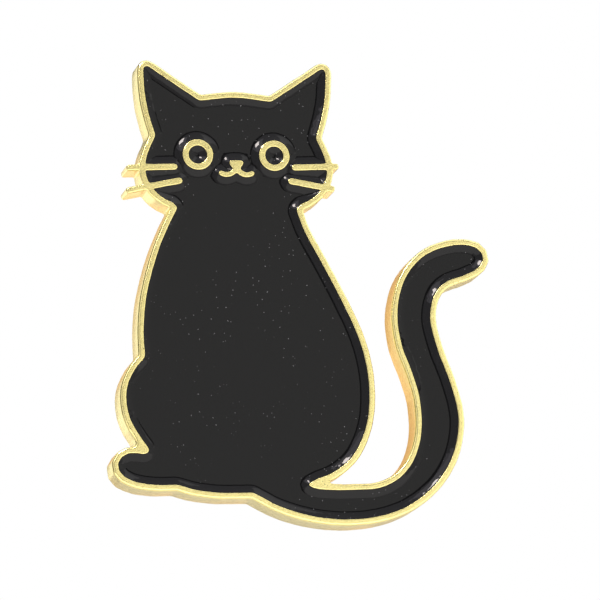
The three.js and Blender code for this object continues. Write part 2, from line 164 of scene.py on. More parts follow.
def plated_casting(name, gold, grain, roughness, grain_depth):
    """Bright gold over cast zinc: a mirror broken up by sandy grain, with painted shade in the grain's
    hollows and a few dark pores.
    """
    material, tree, place = blank_material(name)
    cloudy = speckle(tree, place, 12 * grain, 0.35, 0.65)
    sandy = speckle(tree, place, grain, 0.3, 0.7)
    pores = speckle(tree, place, 1.6 * grain, 0.7, 0.76, detail=1.0)
    tone = {0: cloudy, FIRST: opaque(gold, 0.96), SECOND: opaque(gold)}
    tone = add(tree, "ShaderNodeMix", tone, **COLOURS).outputs[MIXED]
    # painted shade: the gold is darkened where the sandy grain sinks, standing in for the shade in its
    # hollows
    hollow_shade = opaque([gold[0] * 0.9, gold[1] * 0.85, gold[2] * 0.7])
    tone = add(tree, "ShaderNodeMix", {0: sandy, FIRST: hollow_shade, SECOND: tone}, **COLOURS).outputs[MIXED]
    tone = {0: pores, FIRST: tone, SECOND: opaque(gold, 0.18)}
    tone = add(tree, "ShaderNodeMix", tone, **COLOURS).outputs[MIXED]
    ends = {"Value": sandy, "To Min": roughness + 0.08, "To Max": roughness}
    rough = add(tree, "ShaderNodeMapRange", ends).outputs["Result"]
    fine = add(tree, "ShaderNodeBump", {"Height": sandy, "Distance": grain_depth}).outputs["Normal"]
    coarse = {"Height": cloudy, "Distance": 2 * grain_depth, "Normal": fine}
    normal = add(tree, "ShaderNodeBump", coarse).outputs["Normal"]
    surfaced(tree, tone, rough, {"Metallic": 1.0, "Normal": normal})
    return material


SPECK_SPACING = 0.38 * MM
SPECK_RADIUS = 0.115  # of the spacing; coarser than real dust, so that a speck shows at all
SPECK_CORE = 0.07


def baked_enamel(black, speck):
    """Oven-baked black enamel: a wet gloss, with dust and pinholes that catch the light."""
    material, tree, place = blank_material("black_soft_enamel")
    specks = add(tree, "ShaderNodeTexVoronoi", {"Vector": place, "Scale": 1 / SPECK_SPACING})
    edges = {"Value": specks.outputs["Distance"], "From Min": SPECK_RADIUS, "From Max": SPECK_CORE}
    dust = add(tree, "ShaderNodeMapRange", edges).outputs["Result"]
    dusty = speckle(tree, place, 5 * MM, 0.4, 0.56, detail=1.0)
    tone = {0: dusty, FIRST: opaque(black), SECOND: opaque(speck)}
    tone = add(tree, "ShaderNodeMix", tone, **COLOURS).outputs[MIXED]
    tone = {0: dust, FIRST: opaque(black), SECOND: tone}
    tone = add(tree, "ShaderNodeMix", tone, **COLOURS).outputs[MIXED]
    ripple = speckle(tree, place, 1.5 * MM, 0.3, 0.7, detail=1.0)
    normal = add(tree, "ShaderNodeBump", {"Height": ripple, "Distance": 0.0008 * MM}).outputs["Normal"]
    surfaced(tree, tone, 0.05, {"Normal": normal, "Specular IOR Level": 0.245})
    return material


def pressed_brass(name, brass, roughness):
    """Polished brass sheet: a mirror with faint polishing waves and darker tarnish in patches."""
    material, tree, place = blank_material(name)
    tarnish = speckle(tree, place, 1.8 * MM, 0.42, 0.75)
    fine = speckle(tree, place, 0.12 * MM, 0.3, 0.7)
    dark = opaque([brass[0] * 0.84, brass[1] * 0.78, brass[2] * 0.68])
    tone = {0: tarnish, FIRST: opaque(brass), SECOND: dark}
    tone = add(tree, "ShaderNodeMix", tone, **COLOURS).outputs[MIXED]
    ends = {"Value": fine, "To Min": roughness, "To Max": roughness + 0.1}
    rough = add(tree, "ShaderNodeMapRange", ends).outputs["Result"]
    normal = add(tree, "ShaderNodeBump", {"Height": fine, "Distance": 0.0012 * MM}).outputs["Normal"]
    surfaced(tree, tone, rough, {"Metallic": 1.0, "Normal": normal})
    return material


def spring_strip(steel):
    """Rolled spring steel: grey, with fine lines along the rolling direction."""
    material, tree, place = blank_material("rolled_spring_steel")
    along = add(tree, "ShaderNodeMapping", {"Vector": place, "Scale": (0.06, 1, 1)}).outputs["Vector"]
    lines = speckle(tree, along, 0.05 * MM, 0.3, 0.7)
    tone = {0: lines, FIRST: opaque(steel, 0.8), SECOND: opaque(steel)}
    tone = add(tree, "ShaderNodeMix", tone, **COLOURS).outputs[MIXED]
    ends = {"Value": lines, "To Min": 0.36, "To Max": 0.26}
    rough = add(tree, "ShaderNodeMapRange", ends).outputs["Result"]
    normal = add(tree, "ShaderNodeBump", {"Height": lines, "Distance": 0.001 * MM}).outputs["Normal"]
    surfaced(tree, tone, rough, {"Metallic": 1.0, "Normal": normal})
    return material


def solder_skin(tin):
    """Solder that flowed and froze: satin, lumpy, and a paler yellow than the plating round it."""
    material, tree, place = blank_material("flashed_solder")
    lumps = speckle(tree, place, 0.35 * MM, 0.3, 0.7)
    frost = speckle(tree, place, 0.05 * MM, 0.35, 0.65)
    tone = {0: lumps, FIRST: opaque(tin, 0.72), SECOND: opaque(tin)}
    tone = add(tree, "ShaderNodeMix", tone, **COLOURS).outputs[MIXED]
    ends = {"Value": frost, "To Min": 0.34, "To Max": 0.48}
    rough = add(tree, "ShaderNodeMapRange", ends).outputs["Result"]
    coarse = add(tree, "ShaderNodeBump", {"Height": lumps, "Distance": 0.02 * MM}).outputs["Normal"]
    skin = {"Height": frost, "Distance": 0.003 * MM, "Normal": coarse}
    normal = add(tree, "ShaderNodeBump", skin).outputs["Normal"]
    surfaced(tree, tone, rough, {"Metallic": 1.0, "Normal": normal})
    return material


# ---- Meshes ----


def mesh_piece(name, points, faces, materials, indices=None, smooth=True, weld=0):
    """A mesh object at the origin, its points welded within that distance and its normals outwards."""
    mesh = bpy.data.meshes.new(name)
    mesh.from_pydata([tuple(map(float, p)) for p in points], [], faces)
    for material in materials:
        mesh.materials.append(material)
    if indices is not None:
        mesh.polygons.foreach_set("material_index", indices)
    built = bmesh.new()
    built.from_mesh(mesh)
    if weld:
        bmesh.ops.remove_doubles(built, verts=built.verts, dist=weld)
    bmesh.ops.recalc_face_normals(built, faces=built.faces)
    built.to_mesh(mesh)
    built.free()
    mesh.polygons.foreach_set("use_smooth", [smooth] * len(mesh.polygons))
    piece = bpy.data.objects.new(name, mesh)
    SCENE.collection.objects.link(piece)
    return piece


def settled(piece):
    """The piece with its modifiers applied."""
    depsgraph = bpy.context.evaluated_depsgraph_get()
    mesh = bpy.data.meshes.new_from_object(piece.evaluated_get(depsgraph))
    piece.modifiers.clear()
    old, piece.data = piece.data, mesh
    bpy.data.meshes.remove(old)
    mesh.name = piece.name
    return piece


def placed(piece, body, slot, *nodes):
    """The finished piece rides on its body and stands for its CAD nodes."""
    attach(piece, body)
    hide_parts(*nodes)
    return piece


# ---- Outlines of the casting ----

WELD = 2e-6  # how near two corners of the CAD mesh are when they are one
CORNER = math.radians(30)  # an outline that turns by more than this at a point has a corner there
POINT_STEP = 0.08 * MM
WEAR = np.array([0.2, 0.6, 0.2])  # how much of its neighbours each point takes as corners wear
WEAR_PASSES = 2
WAVER_LENGTH = 0.7 * MM
RIPPLE = 0.5  # the waver's finer part, of its coarse part
RIPPLE_RATE = 2.7


def flat_outlines(node, y):
    """The closed outlines of a CAD node's flat face at that depth, as arrays of (x, z). Each starts at
    its leftmost point and the leftmost comes first, so that the mesh's own order doesn't matter."""
    solid = bmesh.new()
    solid.from_mesh(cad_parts[node].data)
    bmesh.ops.remove_doubles(solid, verts=solid.verts, dist=WELD)
    flat = [f for f in solid.faces if all(abs(v.co.y - y) < WELD for v in f.verts)]
    known = set(flat)
    after = {}
    for face in flat:
        for loop in face.loops:
            if not any(f in known for f in loop.edge.link_faces if f is not face):
                after[loop.vert] = loop.link_loop_next.vert
    outlines = []
    while after:
        point, following = after.popitem()
        outline = [point]
        while following is not outline[0]:
            outline.append(following)
            following = after.pop(following)
        corners = np.array([(v.co.x, v.co.z) for v in outline])
        outlines.append(np.roll(corners, -np.lexsort(corners.T[::-1])[0], axis=0))
    solid.free()
    return sorted(outlines, key=lambda outline: outline[0, 0])


def cross(a, b):
    """The cross product's size for vectors in the plane, as an array."""
    return a[..., 0] * b[..., 1] - a[..., 1] * b[..., 0]


def enclosed_area(outline):
    """An outline's area, above zero where it runs anticlockwise."""
    return cross(outline, np.roll(outline, -1, axis=0)).sum() / 2


def inside(points, outlines):
    """Which points an odd number of the outlines encloses."""
    odd = np.zeros(len(points), bool)
    for outline in outlines:
        for a, b in zip(outline, np.roll(outline, -1, axis=0)):
            if a[1] == b[1]:
                continue
            spans = (points[:, 1] < a[1]) != (points[:, 1] < b[1])
            reach = a[0] + (points[:, 1] - a[1]) * (b[0] - a[0]) / (b[1] - a[1])
            odd ^= spans & (points[:, 0] < reach)
    return odd


def subdivided(points, longest):
    """A line with its long stretches cut up, so that they stay straight when it is smoothed."""
    line = [points[0]]
    for a, b in zip(points, points[1:]):
        cuts = max(1, math.ceil(np.linalg.norm(b - a) / longest))
        line += [a + (b - a) * i / cuts for i in range(1, cuts + 1)]
    return np.array(line)


def spline(points, step, closed):
    """A centripetal Catmull-Rom line through the points, in steps of about one length."""
    if closed:
        padded = np.vstack([points[-1], points, points[:2]])
    else:
        padded = np.vstack([2 * points[0] - points[1], points, 2 * points[-1] - points[-2]])
    line = []
    for p0, p1, p2, p3 in zip(padded, padded[1:], padded[2:], padded[3:]):
        knots = [max(np.linalg.norm(b - a), 1e-9) ** 0.5 for a, b in ((p0, p1), (p1, p2), (p2, p3))]
        t = np.cumsum([0] + knots)
        count = max(1, round(np.linalg.norm(p2 - p1) / step))
        for u in t[1] + knots[1] * np.arange(count) / count:
            a1 = p0 + (p1 - p0) * (u - t[0]) / (t[1] - t[0])
            a2 = p1 + (p2 - p1) * (u - t[1]) / (t[2] - t[1])
            a3 = p2 + (p3 - p2) * (u - t[2]) / (t[3] - t[2])
            b1 = a1 + (a2 - a1) * (u - t[0]) / (t[2] - t[0])
            b2 = a2 + (a3 - a2) * (u - t[1]) / (t[3] - t[1])
            line.append(b1 + (b2 - b1) * (u - t[1]) / (t[2] - t[1]))
    return line


def evened(outline, step):
    """A closed outline with its points at even distances."""
    closed = np.vstack([outline, outline[:1]])
    along = np.concatenate([[0], np.cumsum(np.linalg.norm(np.diff(closed, axis=0), axis=1))])
    wanted = np.linspace(0, along[-1], round(along[-1] / step) + 1)[:-1]
    return np.column_stack([np.interp(wanted, along, closed[:, k]) for k in (0, 1)])


def leftward(outline):
    """The unit normal on the left of each point of a closed outline."""
    along = np.roll(outline, -1, axis=0) - np.roll(outline, 1, axis=0)
    along /= np.linalg.norm(along, axis=1)[:, None]
    return np.column_stack([-along[:, 1], along[:, 0]])


def cast_outline(corners, waver):
    """A drawn outline as it comes out of the mould: smooth, its corners a little worn, and wavering."""
    ahead = np.roll(corners, -1, axis=0) - corners
    behind = corners - np.roll(corners, 1, axis=0)
    turn = np.abs(np.arctan2(cross(behind, ahead), (behind * ahead).sum(axis=1)))
    sharp = np.flatnonzero(turn > CORNER)
    if len(sharp):
        corners = np.roll(corners, -sharp[0], axis=0)
        cuts = list(sharp - sharp[0]) + [len(corners)]
        whole = np.vstack([corners, corners[:1]])
        spans = [subdivided(whole[a : b + 1], 4 * POINT_STEP) for a, b in zip(cuts, cuts[1:])]
        line = [point for span in spans for point in spline(span, POINT_STEP / 2, closed=False)]
    else:
        line = spline(corners, POINT_STEP / 2, closed=True)
    outline = evened(np.array(line), POINT_STEP)
    for _ in range(WEAR_PASSES):
        outline = sum(w * np.roll(outline, k, axis=0) for w, k in zip(WEAR, (-1, 0, 1)))
    lattice = [Vector((x / WAVER_LENGTH, 0, z / WAVER_LENGTH)) for x, z in outline]
    strays = np.array([noise.noise(p) + RIPPLE * noise.noise(p * RIPPLE_RATE) for p in lattice])
    return outline + leftward(outline) * (waver * strays)[:, None]


def casting_outlines(waver):
    """The outlines of the raised face: the casting's own, then those of hollows and islands, each with
    the metal on its left and with how many other outlines lie round it."""
    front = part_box("base_plate")[0].y
    drawn = flat_outlines("base_plate", front)
    drawn.sort(key=lambda outline: -round(abs(enclosed_area(outline)) / MM**2, 2))
    outlines = []
    for outline in drawn:
        depth = sum(inside(outline[:1], [bigger]).item() for bigger, _ in outlines)
        metal_inside = depth % 2 == 0
        if (enclosed_area(outline) > 0) != metal_inside:
            outline = outline[::-1]
        outlines.append((cast_outline(outline, waver), depth))
    return outlines


# ---- Filled faces ----


def ring_edges(rings):
    """The edges round closed rings whose points are numbered one ring after another."""
    edges, start = [], 0
    for ring in rings:
        numbers = np.arange(start, start + len(ring))
        edges += list(zip(numbers.tolist(), np.roll(numbers, -1).tolist()))
        start += len(ring)
    return edges


def filled(rings, extra=None):
    """Triangles between closed rings of (x, z), and over extra points inside them. The triangles' corner
    numbers count through the rings' points in order, and then through the extra points."""
    points = np.vstack(rings + ([extra] if extra is not None else []))
    edges = ring_edges(rings)
    scaled = [Vector(p) for p in (points / MM).tolist()]
    found, _, triangles, origins, _, _ = delaunay_2d_cdt(scaled, edges, [], 0, 1e-7)
    number = [origin[0] if origin else None for origin in origins]
    middles = np.array([[sum(found[i][k] for i in t) / 3 for k in (0, 1)] for t in triangles]) * MM
    kept = inside(middles, rings)
    return [
        tuple(number[i] for i in t)
        for t, keep in zip(triangles, kept)
        if keep and None not in [number[i] for i in t]
    ]


class Shell:
    """Rings of points, walls between them and filled faces, collected into one closed mesh."""

    def __init__(self):
        self.points, self.faces, self.materials = [], [], []

    def ring(self, outline, heights):
        start = len(self.points)
        self.points += [(x, y, z) for (x, z), y in zip(outline, np.broadcast_to(heights, len(outline)))]
        return np.arange(start, start + len(outline))

    def wall(self, first, second, material=0):
        for a, b, c, d in zip(first, np.roll(first, -1), np.roll(second, -1), second):
            self.faces.append((int(a), int(b), int(c), int(d)))
            self.materials.append(material)

    def fill(self, rings, material=0, extra=None, height=0):
        flat = [np.array([(self.points[i][0], self.points[i][2]) for i in ring]) for ring in rings]
        added = [] if extra is None else [self.ring(extra, height)]
        numbers = np.concatenate([*rings, *added])
        triangles = filled(flat, extra)
        self.faces += [tuple(int(numbers[i]) for i in t) for t in triangles]
        self.materials += [material] * len(triangles)


EDGE_STEPS = 4
FLOOR_GAP = 0.02 * MM  # between the hollows' floor and the enamel
TIGHT_SHARE = 0.7  # of a tight corner's own radius, which the rounding of its edge may take
EASE_STEPS = 6  # points over which the rounding narrows before such a corner
GUARD = 0.02 * MM  # a narrow flat strip beside each rounding keeps the faces next to it flat in the light


def edge_rounding(outline, metal, radius):
    """The radius of the rounding at each point: less than asked where a corner is too tight for it."""
    turn = np.linalg.norm(np.roll(metal, -1, axis=0) - np.roll(metal, 1, axis=0), axis=1)
    step = np.linalg.norm(np.roll(outline, -1, axis=0) - np.roll(outline, 1, axis=0), axis=1)
    room = np.minimum(radius, TIGHT_SHARE * step / np.maximum(turn, 1e-6))
    for _ in range(EASE_STEPS):
        room = np.minimum(room, np.minimum(np.roll(room, 1), np.roll(room, -1)))
    for _ in range(EASE_STEPS):
        room = (np.roll(room, 1) + room + np.roll(room, -1)) / 3
    return room[:, None]


def gold_casting(settings, materials):
    """The casting: its back, its side, the rounded raised lines and the hollows that hold enamel."""
    low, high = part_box("base_plate")
    face, back = low.y, high.y
    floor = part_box("body_enamel")[1].y + FLOOR_GAP
    shell = Shell()
    face_rings, floor_rings = [], []
    angles = np.linspace(0, math.pi / 2, EDGE_STEPS + 1)
    for outline, depth in casting_outlines(settings.waver):
        metal = leftward(outline)
        radius = edge_rounding(outline, metal, settings.edge_radius if depth else settings.outer_radius)
        if depth == 0:
            inset = metal * settings.back_radius
            drop = settings.back_radius
            rings = [
                shell.ring(outline + inset * (1 - math.sin(a)), back - drop * (1 - math.cos(a)))
                for a in angles
            ]
            back_rings = [rings[0]]
        else:
            rings = [shell.ring(outline, floor)]
            floor_rings.append(rings[0])
        rings.append(shell.ring(outline, face + radius[:, 0] + GUARD))
        for angle in angles:
            inset = outline + metal * radius * (1 - math.cos(angle))
            rings.append(shell.ring(inset, face + radius[:, 0] * (1 - math.sin(angle))))
        rings.append(shell.ring(outline + metal * (radius + GUARD), face))
        for first, second in zip(rings, rings[1:]):
            shell.wall(first, second)
        face_rings.append(rings[-1])
    shell.fill(face_rings)
    shell.fill(floor_rings)
    shell.fill(back_rings, material=1)
    return mesh_piece("gold_casting", shell.points, shell.faces, materials, shell.materials)


# ---- Enamel ----

LAP = 0.01 * MM  # how far the enamel reaches into its walls, so that no gap shows
# Distances from the walls of the rows of points that carry the meniscus, closest where it starts.
BAND_ROWS = np.array([
    0.03, 0.08, 0.14, 0.2, 0.26, 0.32, 0.38, 0.43, 0.46, 0.485, 0.51, 0.53, 0.55, 0.57, 0.61, 0.68,
]) * MM
SPACING = 0.03 * MM  # the least between two points
FIELD_STEP = 0.32 * MM
ROW_SLACK = 0.97  # a row may come this much of its distance to another wall
MENISCUS_POWER = 1.5
SAG_LENGTH = 4 * MM


def thinned(points):
    """The points without those that crowd an earlier one."""
    cells, kept = {}, []
    for point in points:
        column, row = (int(c // SPACING) for c in point)
        near = [cells.get((column + i, row + k)) for i in (-1, 0, 1) for k in (-1, 0, 1)]
        if all(other is None or math.dist(other, point) > SPACING for other in near):
            cells[column, row] = point
            kept.append(point)
    return np.array(kept)


def clear_of(points, walls, distance):
    """The points that are at least a distance from every wall."""
    reach = np.array([np.min(np.linalg.norm(walls - p, axis=1)) for p in points])
    return points[reach >= distance]


def surface_points(outlines):
    """Points over a pool of enamel: rows that follow its walls, and an even field in its middle."""
    walls = np.vstack(outlines)
    rows = [
        clear_of(np.vstack([o - leftward(o) * row for o in outlines]), walls, ROW_SLACK * row)
        for row in BAND_ROWS
    ]
    low, high = walls.min(axis=0), walls.max(axis=0)
    columns = np.arange(low[0], high[0], FIELD_STEP)
    field = [
        (x + FIELD_STEP / 2 * (k % 2), z)
        for k, z in enumerate(np.arange(low[1], high[1], FIELD_STEP * math.sqrt(3) / 2))
        for x in columns
    ]
    field = clear_of(np.array(field), walls, BAND_ROWS[-1] + FIELD_STEP / 2)
    points = thinned(np.vstack([*rows, field]))
    return points[inside(points, outlines)]


def meniscus_tree():
    """Geometry nodes that lift a flat pool of enamel where it comes near a wall."""
    tree = bpy.data.node_groups.new("enamel_meniscus", "GeometryNodeTree")

    def socket(name, kind, in_out="INPUT"):
        return tree.interface.new_socket(name=name, in_out=in_out, socket_type=f"NodeSocket{kind}")

    kinds = {"Pool": "Geometry", "Walls": "Object", "Enamel": "Material"}
    kinds.update(dict.fromkeys(("Climb", "Climb Width", "Sag"), "Float"))
    identifiers = {name: socket(name, kind).identifier for name, kind in kinds.items()}
    socket("Pool", "Geometry", "OUTPUT")
    given = add(tree, "NodeGroupInput").outputs
    place = add(tree, "GeometryNodeInputPosition").outputs["Position"]
    walls = add(tree, "GeometryNodeObjectInfo", {"Object": given["Walls"]}).outputs["Geometry"]
    sources = {"Geometry": walls, "Source Position": place}
    away = add(tree, "GeometryNodeProximity", sources, target_element="EDGES").outputs["Distance"]
    ends = {"Value": away, "From Max": given["Climb Width"], "To Min": 1.0, "To Max": 0.0}
    share = add(tree, "ShaderNodeMapRange", ends).outputs["Result"]
    bend = add(tree, "ShaderNodeMath", {0: share, 1: MENISCUS_POWER}, operation="POWER").outputs[0]
    swell = add(tree, "ShaderNodeTexNoise", {"Vector": place, "Scale": 1 / SAG_LENGTH, "Detail": 0.0})
    drift = {0: swell.outputs["Fac"], 1: 0.5}
    drift = add(tree, "ShaderNodeMath", drift, operation="SUBTRACT").outputs[0]
    climb = add(tree, "ShaderNodeMath", {0: bend, 1: given["Climb"]}, operation="MULTIPLY").outputs[0]
    sag = add(tree, "ShaderNodeMath", {0: drift, 1: given["Sag"]}, operation="MULTIPLY").outputs[0]
    height = add(tree, "ShaderNodeMath", {0: climb, 1: sag}, operation="ADD").outputs[0]
    named = add(tree, "GeometryNodeInputNamedAttribute", {"Name": "surface"}, data_type="FLOAT")
    rise = {0: height, 1: named.outputs["Attribute"]}
    rise = add(tree, "ShaderNodeMath", rise, operation="MULTIPLY").outputs[0]
    outward = add(tree, "ShaderNodeMath", {0: rise, 1: -1.0}, operation="MULTIPLY").outputs[0]
    offset = add(tree, "ShaderNodeCombineXYZ", {"Y": outward}).outputs["Vector"]
    moved = add(tree, "GeometryNodeSetPosition", {"Geometry": given["Pool"], "Offset": offset})
    real = add(tree, "GeometryNodeRealizeInstances", {"Geometry": moved.outputs["Geometry"]})
    skin = {"Geometry": real.outputs["Geometry"], "Material": given["Enamel"]}
    coated = add(tree, "GeometryNodeSetMaterial", skin)
    add(tree, "NodeGroupOutput", {"Pool": coated.outputs["Geometry"]})
    return tree, identifiers


def enamel_pool(name, outlines, node, settings, tree, identifiers, material):
    """One pool of enamel between its walls, flat until the nodes lift its edge."""
    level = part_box(node)[0].y
    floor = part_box(node)[1].y
    shell = Shell()
    lapped = [outline + leftward(outline) * LAP for outline in outlines]
    top = [shell.ring(outline, level) for outline in lapped]
    bottom = [shell.ring(outline, floor) for outline in lapped]
    for first, second in zip(top, bottom):
        shell.wall(first, second)
    shell.fill(bottom)
    shell.fill(top, extra=surface_points(outlines), height=level)
    pool = mesh_piece(name, shell.points, shell.faces, [material])
    heights = np.array([v.co.y for v in pool.data.vertices])
    surface = pool.data.attributes.new("surface", "FLOAT", "POINT")
    surface.data.foreach_set("value", (np.abs(heights - level) < LAP / 10).astype(np.float32))

    walls = bpy.data.meshes.new("walls")
    corners = [(float(x), level, float(z)) for outline in outlines for x, z in outline]
    walls.from_pydata(corners, ring_edges(outlines), [])
    guide = bpy.data.objects.new("walls", walls)
    SCENE.collection.objects.link(guide)

    modifier = pool.modifiers.new("Meniscus", "NODES")
    modifier.node_group = tree
    given = {"Walls": guide, "Climb": settings.climb, "Sag": settings.sag, "Enamel": material}
    given["Climb Width"] = settings.climb_width
    for label, value in given.items():
        modifier[identifiers[label]] = value
    settled(pool)
    bpy.data.objects.remove(guide)
    bpy.data.meshes.remove(walls)
    return pool


# ---- Turned and pressed hardware ----

ROUND_SEGMENTS = 144
POLE_WELD = 1e-9  # joins the points of a turned piece that lie on its axis


def rounded(profile, radius, closed):
    """A profile with its corners rounded, as far as the stretches beside them allow."""
    points = [np.array(p, float) for p in profile]
    smooth = []
    for i, point in enumerate(points):
        if not closed and i in (0, len(points) - 1):
            smooth.append(point)
            continue
        before, after = points[i - 1], points[(i + 1) % len(points)]
        spans = [np.linalg.norm(other - point) for other in (before, after)]
        cut = min(radius, 0.45 * min(spans))
        start = point + (before - point) * cut / spans[0]
        end = point + (after - point) * cut / spans[1]
        for t in np.linspace(0, 1, 5):
            smooth.append((1 - t) ** 2 * start + 2 * t * (1 - t) * point + t**2 * end)
    return smooth


def arc(middle, radius, start, end, steps):
    """Points of a profile on an arc, in degrees."""
    angles = np.radians(np.linspace(start, end, steps + 1))
    return [(middle[0] + radius * math.cos(a), middle[1] + radius * math.sin(a)) for a in angles]


def turned(name, profile, axis, material, closed, swell=None):
    """A profile of (radius, y) turned round an axis parallel to Y, given as its (x, z)."""
    profile = np.array(profile, float)
    points, faces = [], []
    for i in range(ROUND_SEGMENTS):
        angle = 2 * math.pi * i / ROUND_SEGMENTS
        for radius, y in profile if swell is None else swell(profile, angle):
            points.append((axis[0] + radius * math.cos(angle), y, axis[1] + radius * math.sin(angle)))
    count = len(profile)
    for i in range(ROUND_SEGMENTS):
        a, b = i * count, (i + 1) % ROUND_SEGMENTS * count
        for k in range(count if closed else count - 1):
            m = (k + 1) % count
            faces.append((a + k, a + m, b + m, b + k))
    return mesh_piece(name, points, faces, [material], weld=POLE_WELD)


class Fastener:
    """One post and its clutch: where its axis is, and which way its wings point."""

    def __init__(self, name, wings, along):
        self.name, self.wings, self.along = name, wings, Vector(along)
        low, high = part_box(f"{name}_clutch_disc")
        self.axis = ((low.x + high.x) / 2, (low.z + high.z) / 2)
        self.front = low.y
        self.disc_radius = (high.x - low.x) / 2

    def placed(self, x, y, z, side=1):
        """A point given along the wings, out from the disc's front and across the wings."""
        across = Vector((-self.along.z, 0, self.along.x))
        middle = Vector((self.axis[0], self.front + y, self.axis[1]))
        return middle + side * (self.along * x + across * z)


FASTENERS = [
    Fastener("upper", {"top_wing": 1, "bottom_wing": -1}, (0, 0, 1)),
    Fastener("lower", {"right_wing": 1, "left_wing": -1}, (1, 0, 0)),
]


# Sizes of the posts and clutches that no CAD box gives, from the post outwards.
POST_RADIUS = 0.5 * MM
POINT_LENGTH = 0.9 * MM
POINT_RADIUS = 0.1 * MM
GROOVE_DEPTH = 0.1 * MM
GROOVE_LENGTH = 0.6 * MM
GROOVE_FROM_POINT = 1.5 * MM
FOOT_THICKNESS = 0.42 * MM
POST_ROUNDING = 0.12 * MM
DISC_THICKNESS = 0.35 * MM
ROLL_RADIUS = 0.32 * MM
DISC_HOLE = 0.95 * MM
DISC_BRIM = 0.46 * MM  # the flat between the ring and the rolled edge
CAP_RADIUS = 2.9 * MM
CAP_HOLE = 0.75 * MM
CAP_CORNER = 0.45 * MM
RUNNING_GAP = 0.1 * MM
RING_WALL = 0.25 * MM
RING_ROUNDING = 0.1 * MM
NECK_WIDTH = 2.2 * MM
LOOP_WIDTH = 3.4 * MM
WINDOW_GAP = 0.2 * MM
WINDOW_Y = (1.05 * MM, 2.75 * MM)
JAW_BORE = 0.55 * MM
# The middle of a wing, from its jaw, out through the cap's window and up to the finger loop.
WING_LINE = np.array([
    (0.15, 1.15), (1.6, 1.15), (2.15, 1.42), (2.75, 2), (3.55, 2.75),
    (4.65, 3.8), (4.95, 4.4), (4.7, 4.75), (4.25, 4.6),
]) * MM


def post_piece(fastener, material):
    """A drawn post: its foot, a groove that the clutch snaps into, and a ground point."""
    low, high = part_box(f"{fastener.name}_post")
    foot_radius = (high.x - low.x) / 2
    tip = high.y
    groove_end = tip - GROOVE_FROM_POINT
    groove_start = groove_end - GROOVE_LENGTH
    neck = POST_RADIUS - GROOVE_DEPTH
    profile = [
        (0, low.y),
        (foot_radius, low.y),
        (foot_radius, FOOT_THICKNESS),
        (POST_RADIUS, FOOT_THICKNESS),
        (POST_RADIUS, groove_start),
        (neck, groove_start + GROOVE_DEPTH),
        (neck, groove_end - GROOVE_DEPTH),
        (POST_RADIUS, groove_end),
        (POST_RADIUS, tip - POINT_LENGTH),
        (POINT_RADIUS, tip - POINT_RADIUS),
        (0, tip),
    ]
    smooth = rounded(profile, POST_ROUNDING, closed=False)
    return turned(f"{fastener.name}_post_turned", smooth, fastener.axis, material, closed=False)


SOLDER_REACH = 0.86  # of the whole fillet, on average
SOLDER_LOBES = ((0.2, 1.3), (0.1, 4))  # sizes and rates of the unevenness round the foot


def solder_piece(fastener, material):
    """The solder round a post's foot: a hollow fillet that spread unevenly."""
    low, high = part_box(f"{fastener.name}_solder")
    spread = (high.x - low.x) / 2
    inner = (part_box(f"{fastener.name}_post")[1].x - fastener.axis[0]) - LAP
    height = high.y - low.y
    slope = [
        (inner + (spread - inner) * (1 - math.sin(a)), low.y + height * (1 - math.cos(a)))
        for a in np.linspace(0, math.pi / 2, 9)
    ]
    profile = [(inner, low.y), *slope]

    def uneven(points, angle):
        where = Vector((math.cos(angle), math.sin(angle), fastener.axis[1] / MM))
        reach = SOLDER_REACH + sum(size * noise.noise(rate * where) for size, rate in SOLDER_LOBES)
        return [(inner + (r - inner) * min(reach, 1), y) for r, y in points]

    name = f"{fastener.name}_solder_fillet"
    return turned(name, profile, fastener.axis, material, closed=True, swell=uneven)


def disc_piece(fastener, material):
    """The clutch's disc: a flat brim with a rolled edge, and the ring whose lip holds the cap."""
    front = fastener.front
    lip_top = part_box(f"{fastener.name}_clutch_disc")[1].y - front
    lip = lip_top - RING_WALL
    bead = fastener.disc_radius - ROLL_RADIUS
    ring_outside = bead - ROLL_RADIUS - DISC_BRIM
    ring_inside = ring_outside - RING_WALL
    held = CAP_RADIUS + RUNNING_GAP
    sheet_start, front_middle = (bead - ROLL_RADIUS, DISC_THICKNESS), (bead, 0)
    ring = [
        (ring_outside, DISC_THICKNESS),
        (ring_outside, lip_top),
        (held, lip_top),
        (held, lip),
        (ring_inside, lip),
        (ring_inside, DISC_THICKNESS),
        (DISC_HOLE, DISC_THICKNESS),
        (DISC_HOLE, 0),
    ]
    profile = [
        *arc((bead, ROLL_RADIUS), ROLL_RADIUS, -90, 180, 24),
        *rounded([sheet_start, *ring, front_middle], RING_ROUNDING, closed=False)[:-1],
    ]
    profile = [(radius, front + y) for radius, y in profile]
    return turned(f"{fastener.name}_clutch_disc_rolled", profile, fastener.axis, material, closed=True)


CUT_EDGE = math.radians(50)  # an edge that turns by more than this is rounded
SHARP_EDGE = math.radians(35)


def pressed(piece, thickness, edge_radius):
    """A bent sheet given its thickness, with its cut edges rounded."""
    solidify = piece.modifiers.new("Sheet", "SOLIDIFY")
    solidify.thickness, solidify.offset, solidify.use_even_offset = thickness, 0, True
    bevel = piece.modifiers.new("Edges", "BEVEL")
    bevel.width, bevel.segments, bevel.limit_method = edge_radius, 3, "ANGLE"
    bevel.angle_limit = CUT_EDGE
    settled(piece)
    piece.data.set_sharp_from_angle(angle=SHARP_EDGE)
    return piece


FLANGE_BEND = 1.2  # of the cap's foot, in halves of the sheet's thickness


